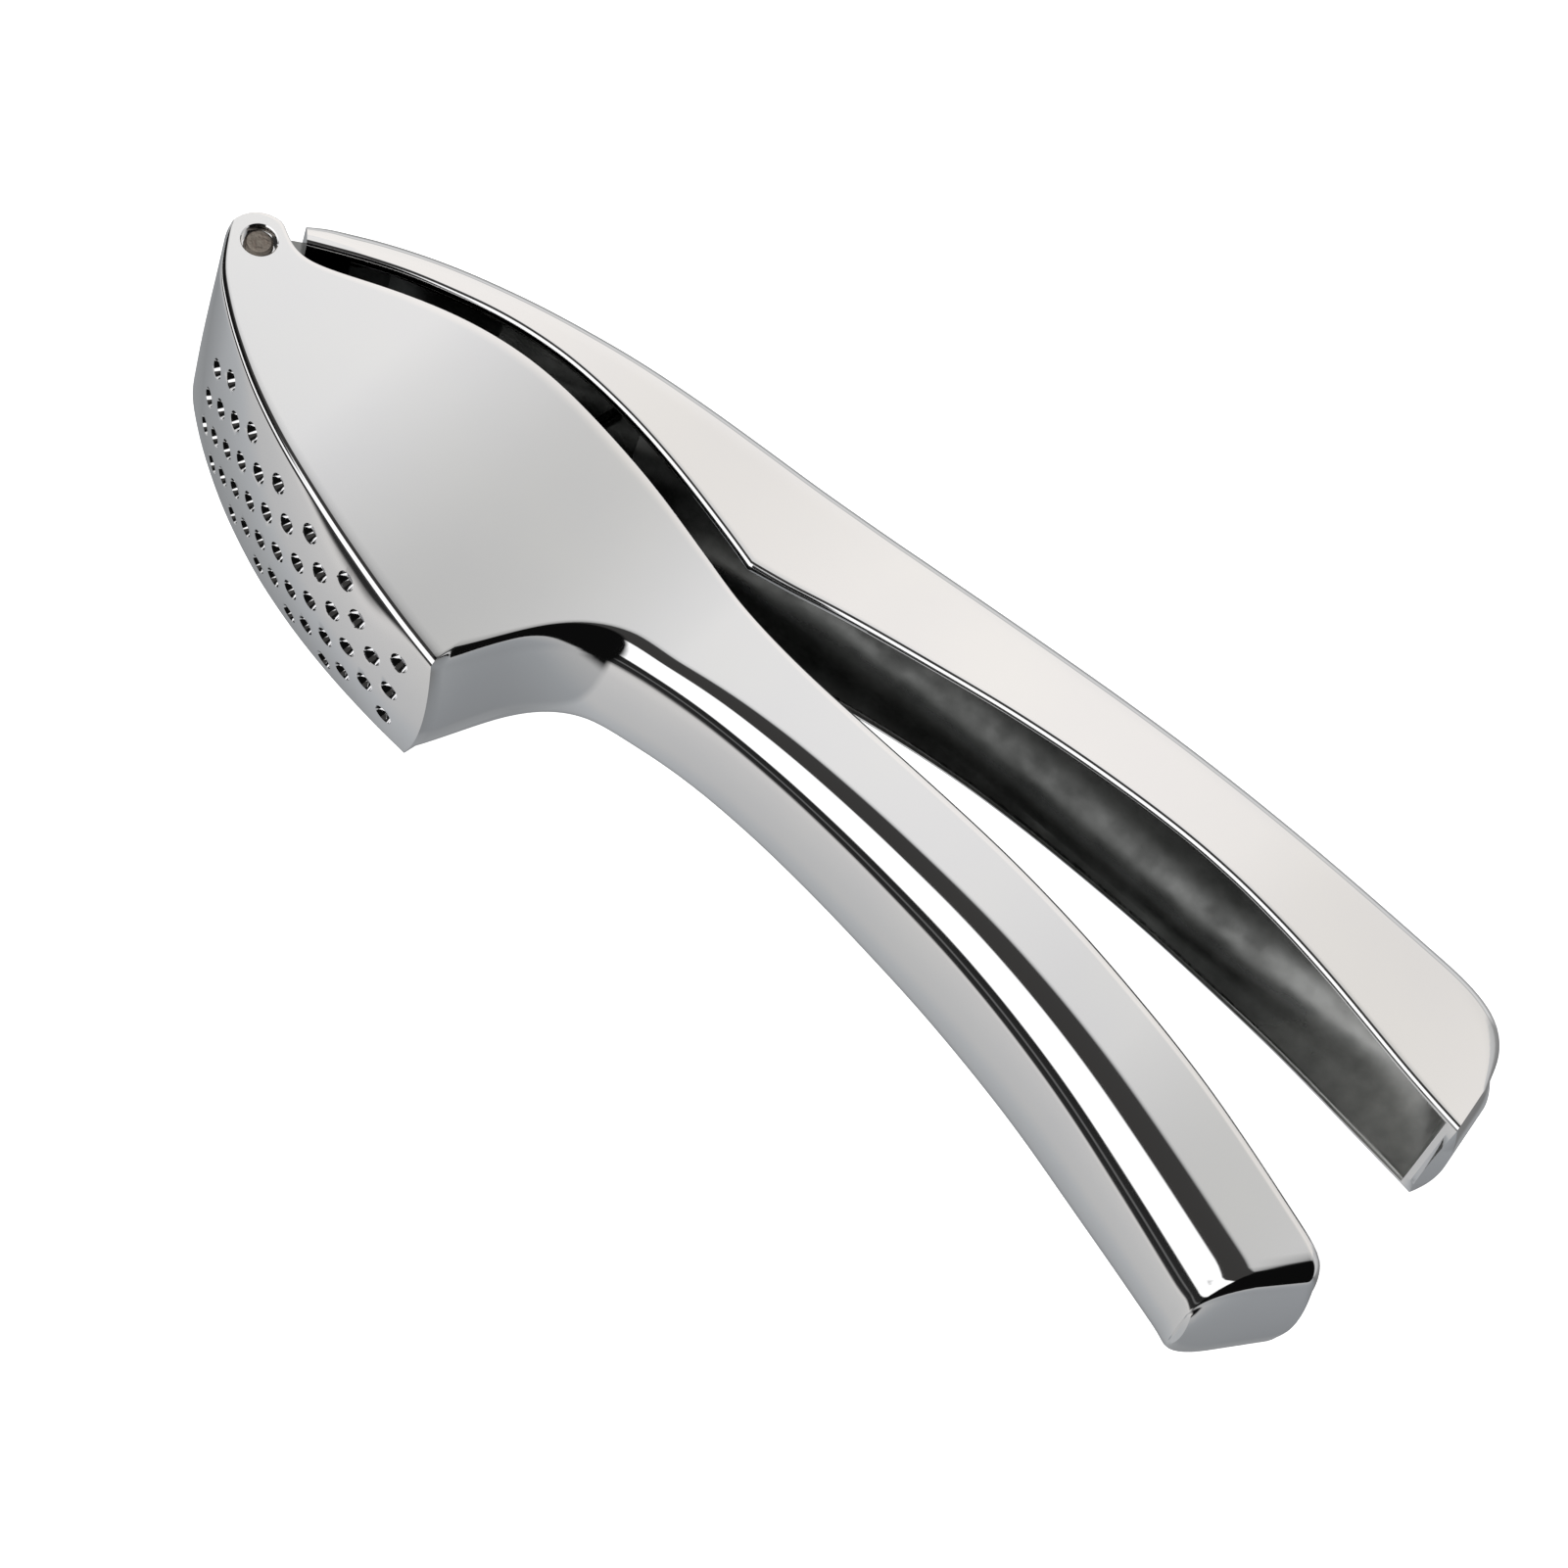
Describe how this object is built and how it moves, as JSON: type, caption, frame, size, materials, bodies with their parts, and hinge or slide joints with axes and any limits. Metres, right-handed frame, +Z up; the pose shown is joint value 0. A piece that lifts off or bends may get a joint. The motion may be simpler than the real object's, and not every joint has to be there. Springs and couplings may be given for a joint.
{
  "type": "garlic press",
  "caption": "Chromed die-cast garlic press with a curved lower handle, a channel-shaped upper lever, a hinged press plunger and a convex perforated hopper.",
  "frame": {"origin": "middle of the base of the bounding box, with the press lying on its side", "axes": "+Z up, along the hinge axis; +X from the hinge towards the ends of the handles; +Y towards the upper lever, and -Y towards the sieve"},
  "size_m": [0.1872, 0.0636, 0.0308],
  "materials": {
    "chrome": "polished chrome plating on zinc die castings",
    "steel": "dull steel, faced ends"
  },
  "bodies": {
    "body": {"body_casting": "chrome", "hinge_pin": "steel"},
    "lever": {"lever_casting": "chrome", "press_plunger": "chrome"}
  },
  "joints": [
    {"name": "lever_hinge", "type": "hinge", "parent": "body", "child": "lever", "pos_m": [-0.0894, -0.00362, 0.0154], "axis": [0, 0, 1], "range_deg": [-2.5, 90]}
  ]
}
